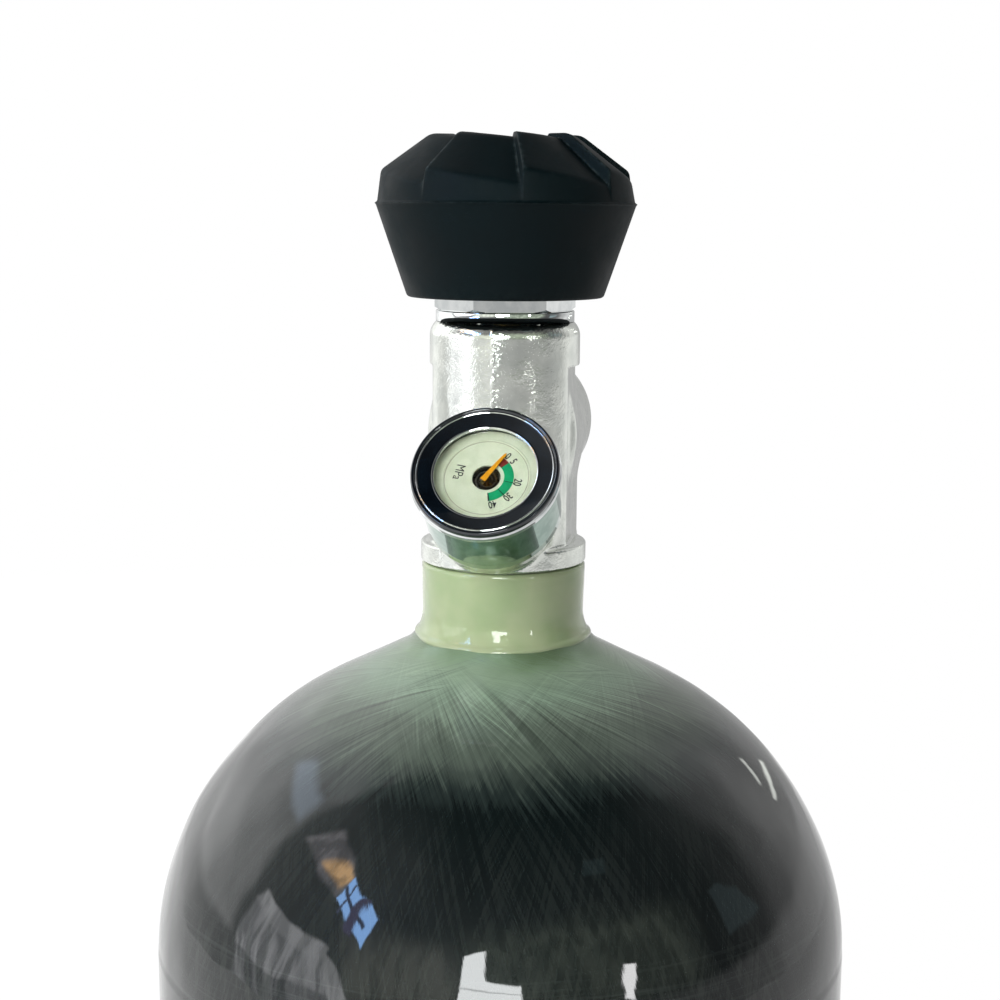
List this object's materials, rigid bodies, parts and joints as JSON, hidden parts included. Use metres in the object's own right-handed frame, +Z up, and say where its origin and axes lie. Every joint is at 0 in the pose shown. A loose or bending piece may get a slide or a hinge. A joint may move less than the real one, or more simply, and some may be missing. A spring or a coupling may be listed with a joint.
{
  "type": "carbon fibre scuba tank",
  "caption": "Upright wrapped composite breathing air cylinder with a screwed-in forged pillar valve, a tilted pressure gauge, a side outlet and a rubber handwheel.",
  "frame": {"origin": "centre of the foot, on the surface that the tank stands on", "axes": "+Z up the tank's axis, -Y towards the gauge, +Y out of the outlet"},
  "size_m": [0.157, 0.157, 0.6187],
  "materials": {
    "liner": "plain aluminium, drawn",
    "carbon": "carbon fibre in epoxy",
    "glass_fibre": "clear glass fibre and epoxy over carbon, glossy",
    "sleeve_resin": "pale green glass fibre in resin, glossy",
    "valve_chrome": "chromed brass forging, faintly sandy",
    "brass": "turned brass",
    "copper": "soft copper",
    "steel": "bright steel",
    "nylon": "off-white nylon",
    "black_rubber": "black rubber",
    "grip_rubber": "matte black rubber with a cool cast",
    "bezel_black": "black chrome with bright edges",
    "crystal": "clear",
    "dial": "pale luminous green-cream",
    "needle": "yellow-orange paint"
  },
  "bodies": {
    "tank": {"aluminium_liner": "liner", "carbon_overwrap": "carbon", "glass_overwrap": "glass_fibre", "neck_sleeve": "sleeve_resin", "valve_body": "valve_chrome", "neck_o_ring": "black_rubber", "dip_tube": "brass", "gland_nut": "valve_chrome", "gland_seal": "copper", "spindle_o_ring": "black_rubber", "gauge_case": "steel", "gauge_bezel": "bezel_black", "gauge_crystal": "crystal", "gauge_dial": "dial", "bourdon_coil": "brass", "gauge_socket": "brass", "gauge_seal": "copper", "case_gasket": "black_rubber", "burst_plug": "brass", "burst_disc": "steel", "burst_gasket": "copper"},
    "handwheel": {"handwheel_hub": "brass", "handwheel_grip": "grip_rubber", "handwheel_spring": "steel", "handwheel_nut": "steel", "upper_spindle": "brass", "thrust_washer": "nylon"},
    "valve_plug": {"lower_spindle": "brass", "seat_insert": "nylon"},
    "pointer": {"gauge_needle": "needle", "needle_arbor": "brass"}
  },
  "joints": [
    {"name": "handwheel_turn", "type": "hinge", "parent": "tank", "child": "handwheel", "pos_m": [0, 0, 0.6], "axis": [0, 0, 1], "range_deg": [0, 630]},
    {"name": "plug_lift", "type": "slide", "parent": "handwheel", "child": "valve_plug", "axis": [0, 0, 1], "range_m": [0, 0.00263]},
    {"name": "needle_swing", "type": "hinge", "parent": "tank", "child": "pointer", "pos_m": [0, -0.02451, 0.54697], "axis": [0, 0.766, -0.6428], "range_deg": [0, 136], "stiffness_Nm_per_rad": 0.00005}
  ],
  "couplings": [
    {"joint": "plug_lift", "follows": "handwheel_turn", "m_per_rad": 0.00023873}
  ]
}
